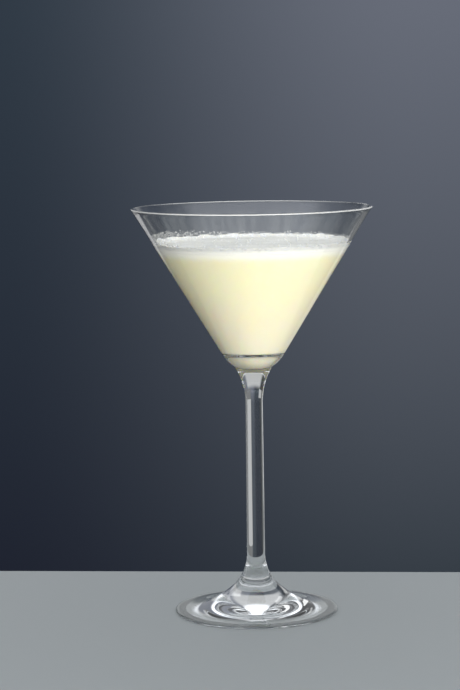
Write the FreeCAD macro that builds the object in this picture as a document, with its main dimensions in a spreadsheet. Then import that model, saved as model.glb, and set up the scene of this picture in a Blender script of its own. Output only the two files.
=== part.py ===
"""Toasted almond cocktail: a creamy drink with a froth on top, in a stemmed cocktail glass.

Frame: millimetres, +Z up, the origin on the table under the middle of the glass. Three pieces are written:
glass (bowl, stem and foot in one piece), cocktail (the drink up to the froth) and foam (the froth, which
stands up in a lumpy collar along the wall).
"""

import FreeCAD, Part
import math
import os
import random
import Sketcher

# Name, value and meaning: in millimetres, but for the two angles in degrees, one share and two counts.
SIZES = [
    ("stem_height", 118.6, "crease between bowl and neck, above the table"),
    ("bowl_height", 76.4, "rim above the crease"),
    ("rim_radius", 57.5, "outside of the rim"),
    ("wall_foot_radius", 10.97, "where the straight wall of the bowl aims at in the plane of the crease"),
    ("wall", 1.25, "wall thickness at the rim"),
    ("wall_taper", 0.35, "degrees that the inner wall leans more, so that the wall thickens downwards"),
    ("rim_roundness", 0.35, "radius of the fire-polished rim edges, as a share of the wall"),
    ("floor_thickness", 1.8, "lowest point of the inside above the crease"),
    ("well_curve", 10.6, "radius of the round well in the bottom of the inside"),
    ("well_edge", 1.9, "rounded edge between the well and the ledge around it"),
    ("ledge_height", 7.3, "inner end of the ledge above the crease"),
    ("ledge_slope", 10.0, "degrees that the ledge falls towards the well"),
    ("ledge_corner", 1.8, "radius between the ledge and the inner wall"),
    ("base_rounding", 16.7, "outside of the bowl where it turns in to the neck"),
    ("crease_radius", 8.95, "crease between bowl and neck"),
    ("neck_curve", 33.0, "hollow curve from the crease down to the stem"),
    ("stem_top_radius", 4.12, "stem under the neck"),
    ("stem_foot_radius", 4.38, "stem where the foot starts to flare"),
    ("flare_height", 28.0, "start of the flare above the table"),
    ("flare_curve", 21.4, "tight upper curve of the foot"),
    ("foot_radius", 39.2, "outside of the foot"),
    ("foot_edge", 0.85, "rounded edge of the foot, half its thickness there"),
    ("ring_width", 4.3, "flat ring that the foot rests on"),
    ("kick_height", 2.2, "hollow under the middle of the foot"),
    ("fill_depth", 17.1, "middle of the froth below the rim"),
    ("froth_depth", 2.1, "froth in the middle, down to the drink"),
    ("collar_width", 5.0, "how far in from the wall the froth starts to climb"),
    ("collar_rise", 1.3, "how far it has climbed at the wall"),
    ("froth_spare", 1.5, "how far the froth is drawn into the wall, which then trims it"),
    ("lump_radius", 4.0, "usual ball whose cap is a lump of froth in the collar"),
    ("lump_rise", 0.75, "how far a usual lump stands out of the collar"),
    ("lump_count", 46, "lumps along the wall"),
    ("bubble_radius", 0.9, "usual bubble that floats further in"),
    ("bubble_rise", 0.5, "how far such a bubble stands out of the froth"),
    ("bubble_count", 18, "bubbles further in"),
]
FROTH_SEED = 11
BUBBLE_PATCHES = (200, 245, 290, 65)

doc = FreeCAD.newDocument("toasted_almond_cocktail")
sheet = doc.addObject("Spreadsheet::Sheet", "Sizes")
for row, (alias, value, meaning) in enumerate(SIZES, start=1):
    sheet.set(f"A{row}", alias)
    sheet.set(f"B{row}", str(value))
    sheet.set(f"C{row}", meaning)
    sheet.setAlias(f"B{row}", alias)
doc.recompute()

# Sizes that several pieces share, worked out from the cells. The mouth is the inside of the rim, and the
# inside of the bowl is a cone from there down to the rounded bottom.
RIM_HEIGHT = "(Sizes.stem_height + Sizes.bowl_height)"
WALL_LEAN = "atan((Sizes.rim_radius - Sizes.wall_foot_radius) / Sizes.bowl_height)"
INNER_LEAN = f"({WALL_LEAN} + Sizes.wall_taper * 1deg)"
MOUTH = f"(Sizes.rim_radius - Sizes.wall / cos({WALL_LEAN}))"
FLOOR = "(Sizes.stem_height + Sizes.floor_thickness)"
LEDGE = "(Sizes.stem_height + Sizes.ledge_height)"
FROTH_TOP = f"({RIM_HEIGHT} - Sizes.fill_depth)"
FROTH_FOOT = f"({FROTH_TOP} - Sizes.froth_depth)"


def inner_radius(height):
    """Inside of the bowl's straight wall at a height, as an expression."""
    return f"({MOUTH} - ({RIM_HEIGHT} - {height}) * tan({INNER_LEAN}))"


def number(expression):
    """What an expression comes to now, in millimetres or degrees."""
    result = sheet.evalExpression(expression)
    return float(getattr(result, "Value", result))


class Profile:
    """A half outline in a body's XZ plane, to be turned about Z: x is the radius and y the height."""

    START, END, CENTRE = 1, 2, 3
    ORIGIN, FLOOR_LINE, AXIS_LINE = (-1, 1), -1, -2

    def __init__(self, body, name):
        self.body = body
        self.sketch = body.newObject("Sketcher::SketchObject", name)
        plane = next(o for o in body.Origin.OriginFeatures if o.Role == "XZ_Plane")
        self.sketch.AttachmentSupport = [(plane, "")]
        self.sketch.MapMode = "FlatFace"

    def line(self, start, end):
        segment = Part.LineSegment(FreeCAD.Vector(*start, 0), FreeCAD.Vector(*end, 0))
        return self.sketch.addGeometry(segment, False)

    def arc(self, centre, radius, first, last):
        """Counter-clockwise from the first angle to the last, in degrees."""
        circle = Part.Circle(FreeCAD.Vector(*centre, 0), FreeCAD.Vector(0, 0, 1), radius)
        curve = Part.ArcOfCircle(circle, math.radians(first), math.radians(last))
        return self.sketch.addGeometry(curve, False)

    def tie(self, kind, *places):
        self.sketch.addConstraint(Sketcher.Constraint(kind, *places))

    def bind(self, name, kind, places, expression):
        """A dimension that follows the sheet."""
        value = number(expression)
        value = math.radians(value) if kind == "Angle" else value
        index = self.sketch.addConstraint(Sketcher.Constraint(kind, *places, value))
        self.sketch.renameConstraint(index, name)
        self.sketch.setExpression(f"Constraints.{name}", expression)

    def at_radius(self, name, place, expression):
        self.bind(name, "DistanceX", (*self.ORIGIN, *place), expression)

    def at_height(self, name, place, expression):
        self.bind(name, "DistanceY", (*self.ORIGIN, *place), expression)

    def turn(self, kind, name):
        """A full turn about Z: PartDesign::Revolution adds it, PartDesign::Groove cuts it."""
        feature = self.body.newObject(kind, name)
        feature.Profile = self.sketch
        feature.ReferenceAxis = (self.sketch, ["V_Axis"])
        feature.Angle = 360.0
        self.sketch.Visibility = False
        doc.recompute()
        return feature


def new_body(label):
    body = doc.addObject("PartDesign::Body", label)
    body.Label = label
    return body


def draw_glass_outside(body):
    """From the rim down the bowl, neck, stem and foot to the table, filled in to the axis."""
    p = Profile(body, "outside")
    rim, rim_height = number("Sizes.rim_radius"), number(RIM_HEIGHT)
    crease, crease_height = number("Sizes.crease_radius"), number("Sizes.stem_height")
    lean, rounding = math.radians(number(WALL_LEAN)), number("Sizes.base_rounding")
    step_in = number("Sizes.wall_foot_radius") - crease
    along = math.sqrt(rounding**2 - (rounding - step_in * math.cos(lean)) ** 2) - step_in * math.sin(lean)
    wall_end = (crease + step_in + along * math.sin(lean), crease_height + along * math.cos(lean))
    base_centre = (wall_end[0] - rounding * math.cos(lean), wall_end[1] + rounding * math.sin(lean))
    base_start = math.degrees(math.atan2(crease_height - base_centre[1], crease - base_centre[0]))

    stem_top, stem_foot = number("Sizes.stem_top_radius"), number("Sizes.stem_foot_radius")
    neck = number("Sizes.neck_curve")
    neck_turn = math.acos(1 - (crease - stem_top) / neck)
    neck_end = crease_height - neck * math.sin(neck_turn)

    flare, flare_height = number("Sizes.flare_curve"), number("Sizes.flare_height")
    edge, foot = number("Sizes.foot_edge"), number("Sizes.foot_radius - Sizes.foot_edge")
    ring, kick = number("Sizes.foot_radius - Sizes.foot_edge - Sizes.ring_width"), number("Sizes.kick_height")
    run, drop = foot - stem_foot - flare, flare_height - 2 * edge
    broad = (run**2 + drop**2 - flare**2) / (2 * (drop - flare))
    joint = 180 + math.degrees(math.atan2(broad - drop, run))
    kick_curve = (ring**2 + kick**2) / (2 * kick)

    axis = p.line((0, kick), (0, rim_height))
    lid = p.line((0, rim_height), (rim, rim_height))
    wall = p.line((rim, rim_height), wall_end)
    base = p.arc(base_centre, rounding, base_start, -math.degrees(lean))
    neck_hollow = p.arc((stem_top + neck, neck_end), neck, 180 - math.degrees(neck_turn), 180)
    stem = p.line((stem_top, neck_end), (stem_foot, flare_height))
    foot_flare = p.arc((stem_foot + flare, flare_height), flare, 180, joint)
    foot_top = p.arc((foot, 2 * edge + broad), broad, joint, 270)
    foot_rim = p.arc((foot, edge), edge, -90, 90)
    ring_face = p.line((foot, 0), (ring, 0))
    underside = p.arc((0, kick - kick_curve), kick_curve, math.degrees(math.acos(ring / kick_curve)), 90)

    p.tie("PointOnObject", axis, p.START, p.AXIS_LINE)
    p.tie("PointOnObject", axis, p.END, p.AXIS_LINE)
    p.tie("Coincident", axis, p.END, lid, p.START)
    p.tie("Horizontal", lid)
    p.tie("Coincident", lid, p.END, wall, p.START)
    p.tie("Tangent", wall, p.END, base, p.END)
    p.tie("Coincident", base, p.START, neck_hollow, p.START)
    p.tie("Tangent", neck_hollow, p.END, stem, p.START)
    p.tie("Tangent", stem, p.END, foot_flare, p.START)
    p.tie("Tangent", foot_flare, p.END, foot_top, p.START)
    p.tie("Tangent", foot_top, p.END, foot_rim, p.END)
    p.tie("Vertical", foot_rim, p.CENTRE, foot_rim, p.END)
    p.tie("Tangent", foot_rim, p.START, ring_face, p.START)
    p.tie("PointOnObject", ring_face, p.START, p.FLOOR_LINE)
    p.tie("PointOnObject", ring_face, p.END, p.FLOOR_LINE)
    p.tie("Coincident", ring_face, p.END, underside, p.START)
    p.tie("Coincident", underside, p.END, axis, p.START)
    p.tie("PointOnObject", underside, p.CENTRE, p.AXIS_LINE)

    p.at_radius("rim", (lid, p.END), "Sizes.rim_radius")
    p.at_height("rim_height", (lid, p.END), RIM_HEIGHT)
    p.bind("wall_lean", "Angle", (wall, p.START, axis, p.END), WALL_LEAN)
    p.bind("base_rounding", "Radius", (base,), "Sizes.base_rounding")
    p.at_radius("crease", (base, p.START), "Sizes.crease_radius")
    p.at_height("crease_height", (base, p.START), "Sizes.stem_height")
    p.bind("neck_curve", "Radius", (neck_hollow,), "Sizes.neck_curve")
    p.at_radius("stem_top", (stem, p.START), "Sizes.stem_top_radius")
    p.at_radius("stem_foot", (stem, p.END), "Sizes.stem_foot_radius")
    p.at_height("flare_height", (stem, p.END), "Sizes.flare_height")
    p.bind("flare_curve", "Radius", (foot_flare,), "Sizes.flare_curve")
    p.bind("foot_edge", "Radius", (foot_rim,), "Sizes.foot_edge")
    p.at_radius("foot", (ring_face, p.START), "Sizes.foot_radius - Sizes.foot_edge")
    p.bind("ring_width", "DistanceX", (ring_face, p.END, ring_face, p.START), "Sizes.ring_width")
    p.at_height("kick_height", (axis, p.START), "Sizes.kick_height")
    return p


def draw_inside(body, name, top):
    """The inside of the bowl: a round well, a narrow ledge around it, and the wall up to a height."""
    p = Profile(body, name)
    lean, slope = math.radians(number(INNER_LEAN)), math.radians(number("Sizes.ledge_slope"))
    well, edge, corner = number("Sizes.well_curve"), number("Sizes.well_edge"), number("Sizes.ledge_corner")
    width, height, floor, inner_end = number(inner_radius(top)), number(top), number(FLOOR), number(LEDGE)
    fall, rise = math.sin(slope), math.cos(slope)
    edge_height = inner_end - edge * rise
    edge_radius = math.sqrt((well + edge) ** 2 - (edge_height - floor - well) ** 2)
    joint = math.atan2(edge_height - floor - well, edge_radius)
    ledge_start = edge_radius - edge * fall
    aim = number(inner_radius(LEDGE)) + corner * rise * math.tan(lean) - corner / math.cos(lean)
    ledge = (aim - ledge_start + corner * fall) / (rise - fall * math.tan(lean))
    ledge_end = (ledge_start + ledge * rise, inner_end + ledge * fall)
    corner_centre = (ledge_end[0] - corner * fall, ledge_end[1] + corner * rise)
    wall_end = (corner_centre[0] + corner * math.cos(lean), corner_centre[1] - corner * math.sin(lean))

    axis = p.line((0, floor), (0, height))
    lid = p.line((0, height), (width, height))
    wall = p.line((width, height), wall_end)
    turn_in = p.arc(corner_centre, corner, math.degrees(slope) - 90, -math.degrees(lean))
    step = p.line(ledge_end, (ledge_start, inner_end))
    brink = p.arc((edge_radius, edge_height), edge, 90 + math.degrees(slope), 180 + math.degrees(joint))
    bottom = p.arc((0, floor + well), well, -90, math.degrees(joint))

    p.tie("PointOnObject", axis, p.START, p.AXIS_LINE)
    p.tie("PointOnObject", axis, p.END, p.AXIS_LINE)
    p.tie("Coincident", axis, p.END, lid, p.START)
    p.tie("Horizontal", lid)
    p.tie("Coincident", lid, p.END, wall, p.START)
    p.tie("Tangent", wall, p.END, turn_in, p.END)
    p.tie("Tangent", turn_in, p.START, step, p.START)
    p.tie("Tangent", step, p.END, brink, p.START)
    p.tie("Tangent", brink, p.END, bottom, p.END)
    p.tie("Coincident", bottom, p.START, axis, p.START)
    p.tie("PointOnObject", bottom, p.CENTRE, p.AXIS_LINE)

    p.at_height("top", (lid, p.END), top)
    p.at_radius("width", (lid, p.END), inner_radius(top))
    p.at_height("floor", (axis, p.START), FLOOR)
    p.at_height("ledge", (step, p.END), LEDGE)
    p.bind("wall_lean", "Angle", (wall, p.START, axis, p.END), INNER_LEAN)
    p.bind("ledge_slope", "Angle", (step, p.END, lid, p.START), "Sizes.ledge_slope * 1deg")
    p.bind("well_curve", "Radius", (bottom,), "Sizes.well_curve")
    p.bind("well_edge", "Radius", (brink,), "Sizes.well_edge")
    p.bind("ledge_corner", "Radius", (turn_in,), "Sizes.ledge_corner")
    return p


def make_glass():
    """Bowl, stem and foot in one piece: the outside turned, the bowl hollowed and the rim rounded."""
    body = new_body("glass")
    blank = draw_glass_outside(body).turn("PartDesign::Revolution", "blank")
    full = blank.Shape.Volume
    hollow = draw_inside(body, "inside", RIM_HEIGHT).turn("PartDesign::Groove", "bowl_hollow")
    if not hollow.Shape.Volume < 0.5 * full:
        raise RuntimeError("the bowl was not hollowed")
    rim_height = number(RIM_HEIGHT)
    rim_edges = [
        f"Edge{index}"
        for index, edge in enumerate(hollow.Shape.Edges, start=1)
        if edge.BoundBox.ZMin > rim_height - 0.01
    ]
    rim = body.newObject("PartDesign::Fillet", "fire_polished_rim")
    rim.Base = (hollow, rim_edges)
    rim.setExpression("Radius", "Sizes.rim_roundness * Sizes.wall")
    return body


def make_cocktail():
    """The drink fills the bowl up to the underside of the froth, face to face with the glass."""
    body = new_body("cocktail")
    draw_inside(body, "drink", FROTH_FOOT).turn("PartDesign::Revolution", "drink_solid")
    return body


def draw_froth(body):
    """A level layer that climbs in a hollow curve towards the wall, and runs on a little past it."""
    p = Profile(body, "froth")
    top, foot, spare = number(FROTH_TOP), number(FROTH_FOOT), number("Sizes.froth_spare")
    rise, climb = number("Sizes.collar_rise"), number("Sizes.collar_width")
    curve = (rise**2 + climb**2) / (2 * rise)
    level = number(inner_radius(FROTH_TOP)) - climb
    outside = level + climb + spare
    crest = top + curve - math.sqrt(curve**2 - (climb + spare) ** 2)

    axis = p.line((0, foot), (0, top))
    surface = p.line((0, top), (level, top))
    collar = p.arc((level, top + curve), curve, 270, 270 + math.degrees(math.asin((climb + spare) / curve)))
    side = p.line((outside, crest), (outside, foot))
    base = p.line((outside, foot), (0, foot))

    p.tie("PointOnObject", axis, p.START, p.AXIS_LINE)
    p.tie("PointOnObject", axis, p.END, p.AXIS_LINE)
    p.tie("Coincident", axis, p.END, surface, p.START)
    p.tie("Horizontal", surface)
    p.tie("Tangent", surface, p.END, collar, p.START)
    p.tie("Coincident", collar, p.END, side, p.START)
    p.tie("Vertical", side)
    p.tie("Coincident", side, p.END, base, p.START)
    p.tie("Horizontal", base)
    p.tie("Coincident", base, p.END, axis, p.START)

    p.at_height("top", (axis, p.END), FROTH_TOP)
    p.at_height("foot", (axis, p.START), FROTH_FOOT)
    p.at_radius("level", (surface, p.END), f"{inner_radius(FROTH_TOP)} - Sizes.collar_width")
    p.at_radius("outside", (side, p.START), f"{inner_radius(FROTH_TOP)} + Sizes.froth_spare")
    collar_curve = "(Sizes.collar_rise^2 + Sizes.collar_width^2) / (2 * Sizes.collar_rise)"
    p.bind("collar_curve", "Radius", (collar,), collar_curve)
    return p


def add_ball(name, degrees, inset, radius, rise):
    """A ball sunk in the froth: inset by that many collar widths from the wall, its cap as high as rise."""
    ball = doc.addObject("Part::Sphere", name)
    reach = f"({inner_radius(FROTH_TOP)} - {inset:.3f} * Sizes.collar_width)"
    climbed = f"{max(0.0, 1 - inset) ** 2:.3f} * Sizes.collar_rise"
    ball.setExpression("Radius", radius)
    ball.setExpression("Placement.Base.x", f"{reach} * {math.cos(math.radians(degrees)):.4f}")
    ball.setExpression("Placement.Base.y", f"{reach} * {math.sin(math.radians(degrees)):.4f}")
    ball.setExpression("Placement.Base.z", f"{FROTH_TOP} + {climbed} + {rise} - {radius}")
    return ball


def make_foam(cocktail):
    """The froth layer, lumpy along the wall, trimmed to the inside of the bowl and laid on the drink."""
    layer = new_body("froth_layer")
    draw_froth(layer).turn("PartDesign::Revolution", "layer_solid")
    room = new_body("bowl_room")
    draw_inside(room, "room", RIM_HEIGHT).turn("PartDesign::Revolution", "room_solid")

    chance = random.Random(FROTH_SEED)
    balls = []
    lump_count = int(number("Sizes.lump_count"))
    for index in range(lump_count):
        degrees = 360 * (index + chance.uniform(-0.4, 0.4)) / lump_count
        radius = f"Sizes.lump_radius * {chance.uniform(0.75, 1.2):.3f}"
        rise = f"Sizes.lump_rise * {chance.uniform(0.5, 1.5):.3f}"
        balls.append(add_ball(f"lump_{index}", degrees, chance.uniform(0.0, 0.3), radius, rise))
    for index in range(int(number("Sizes.bubble_count"))):
        degrees = chance.choice(BUBBLE_PATCHES) + chance.uniform(-17, 17)
        radius = f"Sizes.bubble_radius * {chance.uniform(0.7, 1.2):.3f}"
        rise = f"Sizes.bubble_rise * {chance.uniform(0.7, 1.2):.3f}"
        balls.append(add_ball(f"bubble_{index}", degrees, chance.uniform(1.35, 2.3), radius, rise))

    froth = doc.addObject("Part::MultiFuse", "lumpy_froth")
    froth.Shapes = [layer, *balls]
    trimmed = doc.addObject("Part::Common", "froth_in_bowl")
    trimmed.Base, trimmed.Tool = froth, room
    foam = doc.addObject("Part::Cut", "foam")
    foam.Label = "foam"
    foam.Base, foam.Tool = trimmed, cocktail
    return foam


glass, cocktail = make_glass(), make_cocktail()
nodes = [glass, cocktail, make_foam(cocktail)]
doc.recompute()

for item in doc.Objects:
    if {"Invalid", "Error"} & set(item.State):
        raise RuntimeError(f"{item.Label} failed: {item.State}")
for node in nodes:
    if node.Shape.isNull() or not node.Shape.isValid() or len(node.Shape.Solids) != 1:
        raise RuntimeError(f"{node.Label} is not one valid solid")

os.makedirs("parts", exist_ok=True)
for node in nodes:
    node.Shape.exportStep(f"parts/{node.Label}.step")
    print(f"{node.Label}: {node.Shape.Volume / 1000:.2f} cm3")
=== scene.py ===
"""Toasted almond cocktail in its glass: the looks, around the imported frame. Metres, +Z up."""
import math

import bpy
from mathutils import Matrix, Vector


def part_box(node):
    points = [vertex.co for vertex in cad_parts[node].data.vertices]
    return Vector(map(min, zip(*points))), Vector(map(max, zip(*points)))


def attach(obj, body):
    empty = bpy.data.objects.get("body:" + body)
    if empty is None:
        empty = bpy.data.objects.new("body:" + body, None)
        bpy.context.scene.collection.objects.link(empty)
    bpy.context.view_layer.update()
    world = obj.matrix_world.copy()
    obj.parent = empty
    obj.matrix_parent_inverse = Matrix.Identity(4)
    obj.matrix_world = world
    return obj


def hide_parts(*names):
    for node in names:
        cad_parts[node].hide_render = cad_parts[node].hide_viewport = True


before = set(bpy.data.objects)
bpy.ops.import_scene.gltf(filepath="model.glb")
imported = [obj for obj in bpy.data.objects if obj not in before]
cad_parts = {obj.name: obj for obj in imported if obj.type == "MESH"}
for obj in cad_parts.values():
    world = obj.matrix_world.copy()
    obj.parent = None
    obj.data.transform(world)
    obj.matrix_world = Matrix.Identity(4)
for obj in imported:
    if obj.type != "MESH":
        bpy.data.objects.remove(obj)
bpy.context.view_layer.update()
scene = bpy.context.scene
MM = 0.001


# ---- Glass ---------------------------------------------------------------------------------------------
# A stemmed cocktail glass in clear soda-lime glass: the bowl is pressed and spun to a thin cone, the stem is
# drawn out of its base and the foot is flared and pressed on to it. The rim is cut and fire polished.
(_, _, table_height), (_, _, rim_height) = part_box("glass")
drink_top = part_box("cocktail")[1][2]
froth_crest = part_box("foam")[1][2]

stem_height = 118.6 * MM
rim_radius = 57.5 * MM
wall_foot_radius = 10.97 * MM
wall_thickness = 1.25 * MM
wall_taper = math.radians(0.35)
rim_rounding = 0.35 * wall_thickness
floor_thickness = 1.8 * MM
well_curve = 10.6 * MM
well_edge = 1.9 * MM
ledge_height = 7.3 * MM
ledge_slope = math.radians(10.0)
ledge_corner = 1.8 * MM
base_rounding = 16.7 * MM
crease_radius = 8.95 * MM
neck_curve = 33.0 * MM
stem_top_radius = 4.12 * MM
stem_foot_radius = 4.38 * MM
flare_height = 28.0 * MM
flare_curve = 21.4 * MM
foot_radius = 39.2 * MM
foot_edge = 0.85 * MM
ring_width = 4.3 * MM
kick_height = 2.2 * MM
segments_round = 256

wall_lean = math.atan((rim_radius - wall_foot_radius) / (rim_height - stem_height))
inner_lean = wall_lean + wall_taper
mouth_radius = rim_radius - wall_thickness / math.cos(wall_lean)


def arc(centre, radius, first, last, steps):
    """Points of an arc in the half plane (radius, height), from one angle to another in radians."""
    angles = (first + (last - first) * step / steps for step in range(steps + 1))
    return [(centre[0] + radius * math.cos(a), centre[1] + radius * math.sin(a)) for a in angles]


def straight(start, end, steps):
    """Points between two places, without the two ends."""
    return [
        (start[0] + (end[0] - start[0]) * step / steps, start[1] + (end[1] - start[1]) * step / steps)
        for step in range(1, steps)
    ]


def inner_radius(height):
    """Inside of the bowl's straight wall."""
    return mouth_radius - (rim_height - height) * math.tan(inner_lean)


def outside_profile():
    """From the underside of the foot out over its edge and up to the rim."""
    foot = foot_radius - foot_edge
    ring = foot - ring_width
    kick_curve = (ring**2 + kick_height**2) / (2 * kick_height)
    run, drop = foot - stem_foot_radius - flare_curve, flare_height - 2 * foot_edge
    broad = (run**2 + drop**2 - flare_curve**2) / (2 * (drop - flare_curve))
    joint = math.pi + math.atan2(broad - drop, run)
    neck_turn = math.acos(1 - (crease_radius - stem_top_radius) / neck_curve)
    neck_end = stem_height - neck_curve * math.sin(neck_turn)
    step_in = wall_foot_radius - crease_radius
    sunk = base_rounding - step_in * math.cos(wall_lean)
    along = math.sqrt(base_rounding**2 - sunk**2) - step_in * math.sin(wall_lean)
    wall_end = (wall_foot_radius + along * math.sin(wall_lean), stem_height + along * math.cos(wall_lean))
    base_centre = (
        wall_end[0] - base_rounding * math.cos(wall_lean),
        wall_end[1] + base_rounding * math.sin(wall_lean),
    )
    base_start = math.atan2(stem_height - base_centre[1], crease_radius - base_centre[0])
    quarter = math.pi / 2

    points = arc((0, kick_height - kick_curve), kick_curve, quarter, math.acos(ring / kick_curve), 24)
    points += straight(points[-1], (foot, 0), 3)
    points += arc((foot, foot_edge), foot_edge, -quarter, quarter, 16)
    points += arc((foot, 2 * foot_edge + broad), broad, 3 * quarter, joint, 32)[1:]
    points += arc((stem_foot_radius + flare_curve, flare_height), flare_curve, joint, math.pi, 28)[1:]
    points += straight(points[-1], (stem_top_radius, neck_end), 12)
    points += arc((stem_top_radius + neck_curve, neck_end), neck_curve, math.pi, math.pi - neck_turn, 24)
    points += arc(base_centre, base_rounding, base_start, -wall_lean, 12)[1:]
    rim_centre = rim_radius - rim_rounding * math.tan(wall_lean) - rim_rounding / math.cos(wall_lean)
    rim_edge = arc((rim_centre, rim_height - rim_rounding), rim_rounding, -wall_lean, quarter, 10)
    points += straight(points[-1], rim_edge[0], 40) + rim_edge
    return points


def inside_profile(top, spread=0.0, steps=40):
    """From the well over its edge and the ledge and up the wall, moved out into the glass by spread."""
    fall, rise = math.sin(ledge_slope), math.cos(ledge_slope)
    inner_end = stem_height + ledge_height
    well_centre = stem_height + floor_thickness + well_curve
    edge_height = inner_end - well_edge * rise
    edge_centre = (math.sqrt((well_curve + well_edge) ** 2 - (edge_height - well_centre) ** 2), edge_height)
    ledge_start = edge_centre[0] - well_edge * fall
    aim = inner_radius(inner_end + ledge_corner * rise) - ledge_corner / math.cos(inner_lean)
    ledge = (aim - ledge_start + ledge_corner * fall) / (rise - fall * math.tan(inner_lean))
    corner_centre = (
        ledge_start + ledge * rise - ledge_corner * fall, inner_end + ledge * fall + ledge_corner * rise
    )
    joint = math.atan2(edge_height - well_centre, edge_centre[0])
    points = arc((0, well_centre), well_curve + spread, -math.pi / 2, joint, 20)
    points += arc(edge_centre, well_edge - spread, math.pi + joint, math.pi / 2 + ledge_slope, 12)[1:]
    points += straight(points[-1], (points[-1][0] + ledge * rise, points[-1][1] + ledge * fall), 4)
    points += arc(corner_centre, ledge_corner + spread, ledge_slope - math.pi / 2, -inner_lean, 12)
    end = (inner_radius(top) + spread / math.cos(inner_lean), top)
    return points + straight(points[-1], end, steps) + [end]


def turned(name, profile, segments=segments_round):
    """A closed surface of revolution from a profile whose two ends lie on the axis."""
    rings = profile[1:-1]
    vertices = [(0, 0, profile[0][1])]
    for radius, height in rings:
        for index in range(segments):
            angle = 2 * math.pi * index / segments
            vertices.append((radius * math.cos(angle), radius * math.sin(angle), height))
    vertices.append((0, 0, profile[-1][1]))
    faces = []
    last = 1 + (len(rings) - 1) * segments
    for index in range(segments):
        following = (index + 1) % segments
        faces.append((0, 1 + following, 1 + index))
        faces.append((len(vertices) - 1, last + index, last + following))
        for ring in range(len(rings) - 1):
            low, high = 1 + ring * segments, 1 + (ring + 1) * segments
            faces.append((low + index, low + following, high + following, high + index))
    mesh = bpy.data.meshes.new(name)
    mesh.from_pydata(vertices, [], faces)
    mesh.shade_smooth()
    piece = bpy.data.objects.new(name, mesh)
    scene.collection.objects.link(piece)
    return piece


rim_inside_centre = mouth_radius - rim_rounding * math.tan(inner_lean) + rim_rounding / math.cos(inner_lean)
rim_inside = arc(
    (rim_inside_centre, rim_height - rim_rounding), rim_rounding, math.pi / 2, math.pi - inner_lean, 8
)
inside = inside_profile(rim_height - rim_rounding)[:-1]
glass = turned("glass_body", outside_profile() + rim_inside + inside[::-1])


def node(tree, kind, inputs=None, **settings):
    """A node of a tree; its inputs, by name or number, take a value or a link from another node's output."""
    made = tree.nodes.new(kind)
    for name, value in settings.items():
        setattr(made, name, value)
    for key, value in (inputs or {}).items():
        if isinstance(value, bpy.types.NodeSocket):
            tree.links.new(value, made.inputs[key])
        else:
            made.inputs[key].default_value = value
    return made


def maths(tree, operation, *values):
    """The result of a calculation on one to three values or links."""
    return node(tree, "ShaderNodeMath", dict(enumerate(values)), operation=operation).outputs[0]


def fade(tree, value, start, end, low=0.0, high=1.0, kind="SMOOTHSTEP"):
    """A value that runs from low to high while another runs from start to end."""
    inputs = {"Value": value, "From Min": start, "From Max": end, "To Min": low, "To Max": high}
    return node(tree, "ShaderNodeMapRange", inputs, interpolation_type=kind).outputs[0]


def noise(tree, place, scale, detail=2.0, roughness=0.5, stretch=None):
    """Soft noise around 0.5 at a place, with features of one over scale metres."""
    if stretch:
        place = node(tree, "ShaderNodeVectorMath", {0: place, 1: stretch}, operation="MULTIPLY").outputs[0]
    inputs = {"Vector": place, "Scale": scale, "Detail": detail, "Roughness": roughness}
    return node(tree, "ShaderNodeTexNoise", inputs).outputs[0]


def blend(tree, factor, first, second):
    """A colour between two colours."""
    inputs = {"Factor": factor, "A": first, "B": second}
    return node(tree, "ShaderNodeMix", inputs, data_type="RGBA").outputs["Result"]


def material(name):
    """A material, its tree and Principled shader, and a place, its height, distance and turn about Z."""
    made = bpy.data.materials.new(name)
    made.use_nodes = True
    tree = made.node_tree
    place = node(tree, "ShaderNodeTexCoord").outputs["Object"]
    split = node(tree, "ShaderNodeSeparateXYZ", {0: place}).outputs
    squares = maths(tree, "MULTIPLY_ADD", split[0], split[0], maths(tree, "POWER", split[1], 2.0))
    out = maths(tree, "SQRT", squares)
    turn = maths(tree, "ARCTAN2", split[1], split[0])
    return made, tree, tree.nodes["Principled BSDF"], place, split[2], out, turn


clear_glass, tree, shader, place, height, out, turn = material("clear_glass")
shader.inputs["Base Color"].default_value = (0.985, 0.995, 0.99, 1)
shader.inputs["IOR"].default_value = 1.5
shader.inputs["Transmission Weight"].default_value = 1.0
shader.inputs["Roughness"].default_value = 0.0
# A thin film that the drink has left on the wall, in runs down it, and a painted highlight, white painted on
# the outer edge of the polished rim.
film_thinnest, film_thickest, painted_rim_highlight = 0.004, 0.026, 0.85
drawn_down = maths(tree, "MULTIPLY", height, 2.5)
around = node(tree, "ShaderNodeCombineXYZ", {0: turn, 1: drawn_down}).outputs[0]
film = fade(tree, noise(tree, around, 16.0, detail=1.5), 0.3, 0.75, film_thinnest, film_thickest)
film = maths(tree, "MULTIPLY", film, fade(tree, height, drink_top, drink_top + 3 * MM))
film = maths(tree, "MULTIPLY", film, fade(tree, height, rim_height - 2 * MM, rim_height - 8 * MM, 0.2, 1.0))
# Painted highlight: white painted on the outer edge of the rim's top, where the rim shows a bright line.
edge = fade(tree, height, rim_height - 0.9 * MM, rim_height - 0.4 * MM)
outside = fade(tree, out, rim_radius - 0.6 * MM, rim_radius - 0.2 * MM, 0.0, painted_rim_highlight)
edge = maths(tree, "MULTIPLY", edge, outside)
white = node(tree, "ShaderNodeBsdfDiffuse", {"Color": (0.92, 0.92, 0.9, 1)}).outputs[0]
film_and_painted_highlight = maths(tree, "MAXIMUM", film, edge)
filmed_and_highlighted = node(tree, "ShaderNodeMixShader", {0: film_and_painted_highlight, 1: shader.outputs[0], 2: white}).outputs[0]
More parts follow.
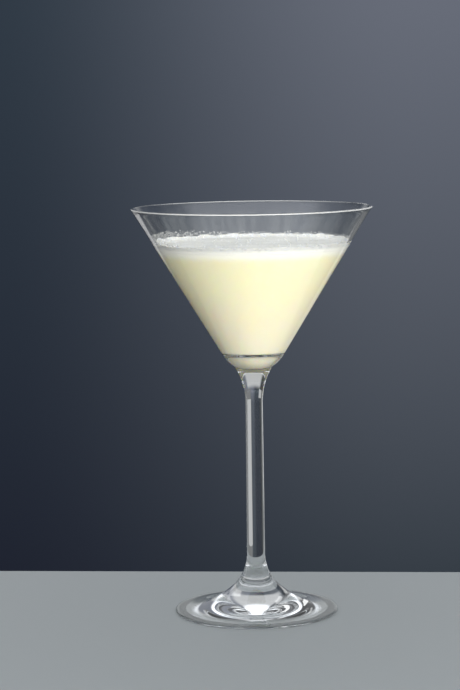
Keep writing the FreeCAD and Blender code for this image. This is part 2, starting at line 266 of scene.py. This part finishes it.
# Lamplight shines straight through, and light caught inside comes out again after a few turns.
turns_inside = 5.5
paths = node(tree, "ShaderNodeLightPath").outputs
caught = maths(tree, "GREATER_THAN", paths["Ray Depth"], turns_inside)
straight_on = maths(tree, "MAXIMUM", paths["Is Shadow Ray"], caught)
passing = node(tree, "ShaderNodeBsdfTransparent", {"Color": (0.99, 1, 0.995, 1)}).outputs[0]
lit_through = node(tree, "ShaderNodeMixShader", {0: straight_on, 1: filmed_and_highlighted, 2: passing}).outputs[0]
tree.links.new(lit_through, tree.nodes["Material Output"].inputs["Surface"])
glass.data.materials.append(clear_glass)
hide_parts("glass")
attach(glass, "root")


# ---- Cocktail ------------------------------------------------------------------------------------------
# The drink: almond and coffee liqueur shaken with cream, opaque and cream coloured. It wets the glass, so
# its skin reaches just into the wall and no air shows between them. Where it is seen through the thick
# bottom of the glass at a low angle, that skin is a mirror. Light doesn't spread within it near the froth.
wetting = 0.12 * MM
shaded_tone_height, unshaded_tone_height, pale_tone_height = 126 * MM, 165 * MM, 171.5 * MM
drink_profile = inside_profile(drink_top, wetting)
cocktail = turned("cocktail_drink", drink_profile + [(0, drink_top)])
cocktail.data.set_sharp_from_angle(angle=math.radians(40))

cream, tree, shader, place, height, out, turn = material("cream_liqueur")
cloudy = noise(tree, place, 60.0, detail=3.0, stretch=(1.0, 1.0, 0.35))
# Painted shade: the drink's tone is painted darker and greyer towards the bottom of the glass; the cloudy
# patches are its own tone, and it turns paler just under the froth.
depth = fade(tree, height, shaded_tone_height, unshaded_tone_height)
body_tone = blend(tree, depth, (0.88, 0.83, 0.66, 1), (0.97, 0.88, 0.64, 1))
body_tone = blend(tree, fade(tree, cloudy, 0.35, 0.7, 0.0, 0.12), body_tone, (0.93, 0.80, 0.52, 1))
cream_tone = blend(tree, fade(tree, height, pale_tone_height, drink_top), body_tone, (0.97, 0.95, 0.86, 1))
tree.links.new(cream_tone, shader.inputs["Base Color"])
shader.inputs["Roughness"].default_value = 0.35
shader.inputs["IOR"].default_value = 1.0
glow = fade(tree, height, drink_top - 3 * MM, drink_top - 0.8 * MM, 1.0, 0.0)
tree.links.new(glow, shader.inputs["Subsurface Weight"])
shader.inputs["Subsurface Radius"].default_value = (1.0, 0.8, 0.45)
shader.inputs["Subsurface Scale"].default_value = 0.9 * MM
mirror = node(tree, "ShaderNodeBsdfGlossy", {"Roughness": 0.02})
grazing = node(tree, "ShaderNodeFresnel", {"IOR": 0.9}).outputs[0]
skin = node(tree, "ShaderNodeMixShader", {0: grazing, 1: shader.outputs[0], 2: mirror.outputs[0]})
tree.links.new(skin.outputs[0], tree.nodes["Material Output"].inputs["Surface"])
cocktail.data.materials.append(cream)
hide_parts("cocktail")
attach(cocktail, "root")


# ---- Foam ----------------------------------------------------------------------------------------------
# Shaken cream froth that floats on the drink: fine wet bubbles, nearly level in the middle, and lumpy where
# it climbs the wall. A rule shapes it: soft waves, lumps that grow towards the wall, then bubbles on top.
froth_level = froth_crest - 2.2 * MM
froth_seam = drink_top - 0.4 * MM
collar_width = 6.0 * MM
collar_rise = 1.1 * MM
lumpy_width = 5.0 * MM
wall_slope = math.tan(inner_lean)


def froth_profile():
    """Seam on the drink, skin along the wall, collar and the nearly level top."""
    def at_wall(height):
        reach = wetting if height > drink_top else 0.3 * wetting
        return inner_radius(height) + reach / math.cos(inner_lean)

    crest = froth_level + collar_rise
    low = drink_top + 0.02 * MM
    skin_steps, rings = 14, 96
    skin_heights = [froth_seam, drink_top]
    skin_heights += [low + (crest - low) * step / skin_steps for step in range(skin_steps + 1)]
    points = [(0, froth_seam)] + [(at_wall(height), height) for height in skin_heights]
    edge = at_wall(crest)
    for step in range(1, rings):
        radius = edge * (1 - step / rings) ** 0.8
        climb = max(0.0, 1 - (edge - radius) / collar_width)
        points.append((radius, froth_level + collar_rise * climb**2))
    return points + [(0, froth_level)]


def geometry_tree(name, sizes):
    """A tree that takes a geometry, named sizes, a seed and a finish; its inputs' identifiers and values."""
    tree = bpy.data.node_groups.new(name, "GeometryNodeTree")
    tree.interface.new_socket("Geometry", in_out="OUTPUT", socket_type="NodeSocketGeometry")
    kinds = {"Geometry": "Geometry", **dict.fromkeys(sizes, "Float"), "Seed": "Int", "Finish": "Material"}
    identifiers = {
        title: tree.interface.new_socket(title, in_out="INPUT", socket_type=f"NodeSocket{kind}").identifier
        for title, kind in kinds.items()
    }
    return tree, identifiers, node(tree, "NodeGroupInput").outputs


def finish_tree(tree, geometry, finish):
    """The end of a tree: the geometry smooth, real and in its material."""
    smooth = node(tree, "GeometryNodeSetShadeSmooth", {"Geometry": geometry}).outputs[0]
    realized = node(tree, "GeometryNodeRealizeInstances", {0: smooth}).outputs[0]
    painted = node(tree, "GeometryNodeSetMaterial", {"Geometry": realized, "Material": finish}).outputs[0]
    node(tree, "NodeGroupOutput", {0: painted})


def bubbles_on(tree, surface, density, smallest, largest, room, sunk, flat, seed):
    """Bubbles on a surface, mostly small, none larger than its room; sunk and flat are shares of the size."""
    points = node(
        tree, "GeometryNodeDistributePointsOnFaces", {"Mesh": surface, "Density": density, "Seed": seed}
    ).outputs
    chance = node(
        tree, "FunctionNodeRandomValue", {"Min": 0.0, "Max": 1.0, "Seed": seed}, data_type="FLOAT"
    ).outputs["Value"]
    spread = maths(tree, "POWER", chance, 2.5)
    size = maths(tree, "MULTIPLY_ADD", spread, maths(tree, "SUBTRACT", largest, smallest), smallest)
    size = maths(tree, "MINIMUM", size, room)
    stored = {"Geometry": points["Points"], "Name": "bubble_size", "Value": size}
    kept = node(
        tree, "GeometryNodeStoreNamedAttribute", stored, data_type="FLOAT", domain="POINT"
    ).outputs["Geometry"]
    named = {"Name": "bubble_size"}
    size = node(tree, "GeometryNodeInputNamedAttribute", named, data_type="FLOAT").outputs[0]
    down = maths(tree, "MULTIPLY", size, maths(tree, "MULTIPLY", sunk, -1.0))
    offset = node(
        tree, "ShaderNodeVectorMath", {0: points["Normal"], "Scale": down}, operation="SCALE"
    ).outputs[0]
    kept = node(tree, "GeometryNodeSetPosition", {"Geometry": kept, "Offset": offset}).outputs[0]
    ball = node(tree, "GeometryNodeMeshIcoSphere", {"Radius": 1.0, "Subdivisions": 2}).outputs["Mesh"]
    scale = node(
        tree, "ShaderNodeCombineXYZ", {0: size, 1: size, 2: maths(tree, "MULTIPLY", size, flat)}
    ).outputs[0]
    placed = node(
        tree, "GeometryNodeInstanceOnPoints",
        {"Points": kept, "Instance": ball, "Rotation": points["Rotation"], "Scale": scale},
    ).outputs[0]
    return node(tree, "GeometryNodeRealizeInstances", {0: placed}).outputs[0]


def grown(piece, tree, identifiers, values):
    """The piece as its geometry tree makes it, as a plain mesh."""
    modifier = piece.modifiers.new(tree.name, "NODES")
    modifier.node_group = tree
    for name, value in values.items():
        modifier[identifiers[name]] = value
    evaluated = piece.evaluated_get(bpy.context.evaluated_depsgraph_get())
    mesh = bpy.data.meshes.new_from_object(evaluated)
    piece.modifiers.clear()
    piece.data = mesh


froth, tree, shader, place, height, out, turn = material("cream_froth")
# Painted shade: the middles of open bubble cells, in patches, are painted darker, as shade in their hollows.
cells = node(tree, "ShaderNodeTexVoronoi", {"Vector": place, "Scale": 950.0}).outputs["Distance"]
patches = fade(tree, noise(tree, place, 75.0, detail=2.0), 0.48, 0.62, 0.08, 0.75)
shaded_open_cells = maths(tree, "MULTIPLY", fade(tree, cells, 0.15, 0.5, 1.0, 0.0), patches)
# Painted shade: the froth's top is painted grey, darker than its nearly white skin along the glass, in random
# streaks and lighter towards the wall.
toward_wall = fade(tree, out, 34 * MM, 44 * MM)
streaks = noise(tree, place, 55.0, detail=3.0, stretch=(0.5, 1.6, 1.0))
shaded_top_tone = blend(tree, fade(tree, streaks, 0.35, 0.65), (0.56, 0.56, 0.53, 1), (0.68, 0.68, 0.645, 1))
froth_tone = blend(tree, toward_wall, shaded_top_tone, (0.78, 0.775, 0.745, 1))
froth_tone = blend(tree, shaded_open_cells, froth_tone, (0.46, 0.47, 0.45, 1))
skin_share = fade(tree, height, drink_top + 0.6 * MM, froth_level + 0.3 * MM, 1.0, 0.0)
froth_tone = blend(tree, skin_share, froth_tone, (0.97, 0.95, 0.88, 1))
tree.links.new(froth_tone, shader.inputs["Base Color"])
relief = maths(tree, "ADD", cells, maths(tree, "MULTIPLY", noise(tree, place, 500.0), 0.6))
bump = node(tree, "ShaderNodeBump", {"Strength": 0.5, "Distance": 0.25 * MM, "Height": relief}).outputs[0]
tree.links.new(bump, shader.inputs["Normal"])
shader.inputs["Roughness"].default_value = 0.35
glow = fade(tree, height, drink_top + 0.6 * MM, drink_top + 1.8 * MM, 0.0, 0.6)
tree.links.new(glow, shader.inputs["Subsurface Weight"])
shader.inputs["Subsurface Radius"].default_value = (1.0, 0.9, 0.7)
shader.inputs["Subsurface Scale"].default_value = 0.6 * MM

tree, identifiers, given = geometry_tree("froth_relief", (
    "Foot", "Level", "Wall Radius", "Wall Slope", "Collar Width", "Wave Height", "Lump Height",
    "Smallest Bubble", "Largest Bubble", "Least Room", "Bubbles Per Area",
))
place = node(tree, "GeometryNodeInputPosition").outputs[0]
x, y, z = node(tree, "ShaderNodeSeparateXYZ", {0: place}).outputs
flat_place = node(tree, "ShaderNodeCombineXYZ", {0: x, 1: y}).outputs[0]
out = node(tree, "ShaderNodeVectorMath", {0: flat_place}, operation="LENGTH").outputs["Value"]
above = maths(tree, "SUBTRACT", z, given["Level"])
wall_here = maths(tree, "MULTIPLY_ADD", above, given["Wall Slope"], given["Wall Radius"])
to_wall = maths(tree, "SUBTRACT", wall_here, out)
near_wall = fade(tree, to_wall, given["Collar Width"], 0.0)
on_top = fade(tree, z, given["Foot"], given["Level"], kind="LINEAR")
waves = maths(tree, "MULTIPLY", maths(tree, "SUBTRACT", noise(tree, place, 45.0), 0.5), given["Wave Height"])
coarse = maths(tree, "SUBTRACT", noise(tree, place, 170.0, detail=3.0, roughness=0.65), 0.46)
fine = maths(tree, "MULTIPLY", maths(tree, "SUBTRACT", noise(tree, place, 700.0), 0.5), 0.35)
lumps = maths(tree, "MULTIPLY", maths(tree, "ADD", coarse, fine), given["Lump Height"])
lumps = maths(tree, "MULTIPLY", lumps, fade(tree, near_wall, 0.0, 1.0, 0.12, 1.0))
lift = maths(tree, "MULTIPLY", maths(tree, "ADD", waves, lumps), on_top)
lean_share = maths(tree, "DIVIDE", maths(tree, "POWER", near_wall, 2.0), maths(tree, "MAXIMUM", out, 1 * MM))
lean_out = maths(tree, "MULTIPLY", maths(tree, "MULTIPLY", lift, given["Wall Slope"]), lean_share)
lean_x, lean_y = (maths(tree, "MULTIPLY", part, lean_out) for part in (x, y))
offset = node(tree, "ShaderNodeCombineXYZ", {0: lean_x, 1: lean_y, 2: lift}).outputs[0]
shaped = node(tree, "GeometryNodeSetPosition", {"Geometry": given["Geometry"], "Offset": offset}).outputs[0]
normal = node(tree, "GeometryNodeInputNormal").outputs[0]
facing_up = node(tree, "ShaderNodeSeparateXYZ", {0: normal}).outputs[2]
crowd = maths(tree, "MULTIPLY", fade(tree, facing_up, 0.2, 0.5), fade(tree, near_wall, 0.0, 0.8, 0.05, 1.0))
crowd = maths(tree, "MULTIPLY", crowd, fade(tree, noise(tree, place, 90.0), 0.4, 0.6, 0.15, 1.0))
density = maths(tree, "MULTIPLY", crowd, given["Bubbles Per Area"])
room = maths(tree, "ADD", maths(tree, "MULTIPLY", to_wall, 0.8), 0.1 * MM)
room = maths(tree, "MAXIMUM", room, given["Least Room"])
balls = bubbles_on(
    tree, shaped, density, given["Smallest Bubble"], given["Largest Bubble"], room,
    sunk=0.35, flat=1.0, seed=given["Seed"],
)
whole = node(tree, "GeometryNodeJoinGeometry")
tree.links.new(balls, whole.inputs[0])
tree.links.new(shaped, whole.inputs[0])
finish_tree(tree, whole.outputs[0], given["Finish"])

foam = turned("foam_froth", froth_profile(), 288)
grown(foam, tree, identifiers, {
    "Foot": froth_seam + 1.0 * MM, "Level": froth_level, "Wall Radius": inner_radius(froth_level) + wetting,
    "Wall Slope": wall_slope, "Collar Width": lumpy_width, "Wave Height": 0.7 * MM, "Lump Height": 2.6 * MM,
    "Smallest Bubble": 0.22 * MM, "Largest Bubble": 0.8 * MM, "Least Room": 0.08 * MM,
    "Bubbles Per Area": 1100000.0, "Seed": 4, "Finish": froth,
})
foam.data.set_sharp_from_angle(angle=math.radians(50))
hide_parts("foam")
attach(foam, "root")


# ---- Veil ----------------------------------------------------------------------------------------------
# A thin veil of bubbles has stayed on the inner wall above the froth, low at the back and higher on the
# left, where the glass was tilted. The bubbles grow on a strip of the wall, which is left out afterwards.
veil_low, veil_high = froth_level + 0.4 * MM, froth_level + 4.6 * MM
veil_from, veil_to, veil_steps, veil_rows = math.radians(-5), math.radians(225), 300, 12
wall_gap = 0.04 * MM
veil_mesh = bpy.data.meshes.new("foam_veil")
corners = []
for row in range(veil_rows + 1):
    level = veil_low + (veil_high - veil_low) * row / veil_rows
    radius = inner_radius(level) - wall_gap
    for step in range(veil_steps + 1):
        angle = veil_from + (veil_to - veil_from) * step / veil_steps
        corners.append((radius * math.cos(angle), radius * math.sin(angle), level))
wide = veil_steps + 1
veil_mesh.from_pydata(corners, [], [
    (low, low + wide, low + wide + 1, low + 1)
    for low in (row * wide + step for row in range(veil_rows) for step in range(veil_steps))
])
veil = bpy.data.objects.new("foam_veil", veil_mesh)
scene.collection.objects.link(veil)

bubble_film, tree, shader, place, height, out, turn = material("bubble_film")
shade = fade(tree, noise(tree, place, 400.0), 0.35, 0.65)
tree.links.new(blend(tree, shade, (0.62, 0.62, 0.60, 1), (0.86, 0.86, 0.83, 1)), shader.inputs["Base Color"])
shader.inputs["Roughness"].default_value = 0.3
shader.inputs["Alpha"].default_value = 0.36

tree, identifiers, given = geometry_tree("clinging_bubbles", (
    "Low", "High", "Middle Turn", "Half Turn", "Back Share", "Smallest Bubble", "Largest Bubble",
    "Bubbles Per Area",
))
place = node(tree, "GeometryNodeInputPosition").outputs[0]
x, y, z = node(tree, "ShaderNodeSeparateXYZ", {0: place}).outputs
turn = maths(tree, "ARCTAN2", y, maths(tree, "MULTIPLY", x, -1.0))
aside = maths(tree, "ABSOLUTE", maths(tree, "SUBTRACT", turn, given["Middle Turn"]))
within = fade(tree, aside, given["Half Turn"], 0.0, given["Back Share"], 1.0)
ragged = maths(tree, "ADD", maths(tree, "MULTIPLY", noise(tree, place, 150.0, detail=3.0), 0.8), 0.6)
reach = maths(tree, "MULTIPLY", ragged, within)
up = fade(tree, z, given["Low"], given["High"], kind="LINEAR")
cover = fade(tree, maths(tree, "SUBTRACT", reach, up), 0.0, 0.3)
density = maths(tree, "MULTIPLY", cover, given["Bubbles Per Area"])
balls = bubbles_on(
    tree, given["Geometry"], density, given["Smallest Bubble"], given["Largest Bubble"], room=1.0,
    sunk=0.0, flat=0.45, seed=given["Seed"],
)
finish_tree(tree, balls, given["Finish"])
grown(veil, tree, identifiers, {
    "Low": veil_low, "High": veil_high, "Middle Turn": math.radians(22), "Half Turn": math.radians(66),
    "Back Share": 0.5, "Smallest Bubble": 0.12 * MM, "Largest Bubble": 0.4 * MM,
    "Bubbles Per Area": 4200000.0, "Seed": 9, "Finish": bubble_film,
})
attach(veil, "root")


# ---- Table and surroundings ------------------------------------------------------------------------------
# A plain pale table top, whose back edge is just behind the glass, before an even slate backdrop.
def srgb(red, green, blue):
    """A colour as it shows on screen, from 0 to 255, as the linear values that nodes take."""
    parts = (value / 255 for value in (red, green, blue))
    return (*(p / 12.92 if p <= 0.04045 else ((p + 0.055) / 1.055) ** 2.4 for p in parts), 1)


table_back, table_turn, table_reach, table_base = 85 * MM, 0.068, 1.2, -30 * MM
table = bpy.data.objects.new("table", bpy.data.meshes.new("table"))
scene.collection.objects.link(table)
skew = table_reach * table_turn
plan = (
    (-table_reach, -table_reach), (table_reach, -table_reach),
    (table_reach, table_back - skew), (-table_reach, table_back + skew),
)
corners = [(x, y, level) for level in (table_base, table_height) for x, y in plan]
table.data.from_pydata(
    corners, [], [(0, 3, 2, 1), (4, 5, 6, 7), (0, 1, 5, 4), (1, 2, 6, 5), (2, 3, 7, 6), (3, 0, 4, 7)]
)
table_top = bpy.data.materials.new("pale_table")
table_top.use_nodes = True
shader = table_top.node_tree.nodes["Principled BSDF"]
shader.inputs["Base Color"].default_value = srgb(122, 127, 129)
shader.inputs["Roughness"].default_value = 0.6
table.data.materials.append(table_top)

# What the glass shows around it, by direction: the slate backdrop, lighter to the right and upwards and
# nearly black far to the left; grey walls at both sides; a pale room in front and above the backdrop; and a
# bright ceiling. What scatters light gets an even, softer light instead.
world = bpy.data.worlds.new("studio")
scene.world = world
world.use_nodes = True
tree = world.node_tree
direction = node(tree, "ShaderNodeTexCoord").outputs["Generated"]
x, y, z = node(tree, "ShaderNodeSeparateXYZ", {0: direction}).outputs
aside = maths(tree, "ABSOLUTE", x)
across = fade(tree, x, -0.12, 0.08)
up = fade(tree, z, -0.22, 0.03, kind="LINEAR")
slate = blend(
    tree, up, blend(tree, across, srgb(31, 35, 47), srgb(54, 61, 69)),
    blend(tree, across, srgb(48, 58, 69), srgb(103, 108, 120)),
)
slate = blend(tree, fade(tree, x, -0.42, -0.56), slate, (0.02, 0.022, 0.025, 1))
side_wall = maths(tree, "MAXIMUM", fade(tree, x, 0.19, 0.3), fade(tree, x, -0.62, -0.7, 0.0, 1.4))
wall_band = maths(tree, "MULTIPLY", fade(tree, z, -0.42, -0.34), fade(tree, z, 0.2, 0.05))
side_wall = maths(tree, "MULTIPLY", side_wall, wall_band)
behind = blend(tree, side_wall, slate, (0.17, 0.175, 0.18, 1))
above_backdrop = maths(tree, "MULTIPLY", fade(tree, z, 0.08, 0.2), fade(tree, aside, 0.5, 0.35))
pale_room = maths(tree, "MAXIMUM", above_backdrop, fade(tree, y, 0.1, -0.1))
studio = blend(tree, pale_room, behind, (0.5, 0.51, 0.52, 1))
overhead = maths(tree, "MULTIPLY", fade(tree, z, 0.5, 0.66), fade(tree, aside, 0.8, 0.62))
studio = blend(tree, overhead, studio, (1.45, 1.5, 1.6, 1))
paths = node(tree, "ShaderNodeLightPath").outputs
seen = maths(tree, "MAXIMUM", paths["Is Camera Ray"], paths["Is Glossy Ray"])
seen = maths(tree, "MAXIMUM", seen, paths["Is Transmission Ray"])
seen = maths(tree, "MULTIPLY", seen, maths(tree, "LESS_THAN", paths["Diffuse Depth"], 0.5))
ambient = blend(tree, seen, (0.43, 0.44, 0.455, 1), studio)
tree.links.new(ambient, tree.nodes["Background"].inputs["Color"])


# ---- Lamps and camera ------------------------------------------------------------------------------------
# Large soft lamps light the drink and the table. A panel and two small cards, which the glass mirrors and
# bends, draw the bright bands down its left wall and its stem.
def softbox(name, place, target, width, height, watts, mirrored=False):
    """A soft lamp that faces a target; the eye never sees it, and glass shows it only where mirrored."""
    lamp = bpy.data.lights.new(name, "AREA")
    lamp.shape = "RECTANGLE"
    lamp.size, lamp.size_y, lamp.energy = width, height, watts
    holder = bpy.data.objects.new(name, lamp)
    scene.collection.objects.link(holder)
    holder.location = place
    holder.rotation_euler = (Vector(target) - Vector(place)).to_track_quat("-Z", "Y").to_euler()
    holder.visible_camera = False
    holder.visible_glossy = holder.visible_transmission = mirrored


softbox("window", (0.6, -1.36, 0.42), (0, 0, 0.12), 0.9, 0.8, 27)
softbox("left_fill", (-1.1, -0.9, 0.4), (0, 0, 0.12), 0.8, 0.8, 3.5)
softbox("ceiling", (0.0, 0.0, 1.6), (0, 0, 0), 3.0, 2.4, 24)
softbox("left_panel", (-1.1, 0.35, 0.2), (0, 0, 0.1), 0.35, 0.9, 1.0, True)
softbox("left_card", (-0.165, 0.28, 0.115), (-0.05, 0, 0.185), 0.1, 0.06, 0.008, True)
softbox("right_card", (0.128, 0.26, 0.025), (0, 0, 0.09), 0.125, 0.11, 0.0135, True)

lens_length, film_height = 117.1, 36
camera = bpy.data.cameras.new("camera")
camera.sensor_fit = "VERTICAL"
camera.sensor_height = film_height
camera.lens = lens_length
viewer = bpy.data.objects.new("camera", camera)
scene.collection.objects.link(viewer)
distance, eye_height = 1063.9 * MM, 255.0 * MM
pitch, yaw, roll = math.radians(6.739), math.radians(0.598), math.radians(-0.831)
viewer.matrix_world = (
    Matrix.Translation((0, -distance, eye_height))
    @ Matrix.Rotation(yaw, 4, "Z")
    @ Matrix.Rotation(math.pi / 2 - pitch, 4, "X")
    @ Matrix.Rotation(roll, 4, "Z")
)
scene.camera = viewer
scene.view_settings.view_transform = "Standard"
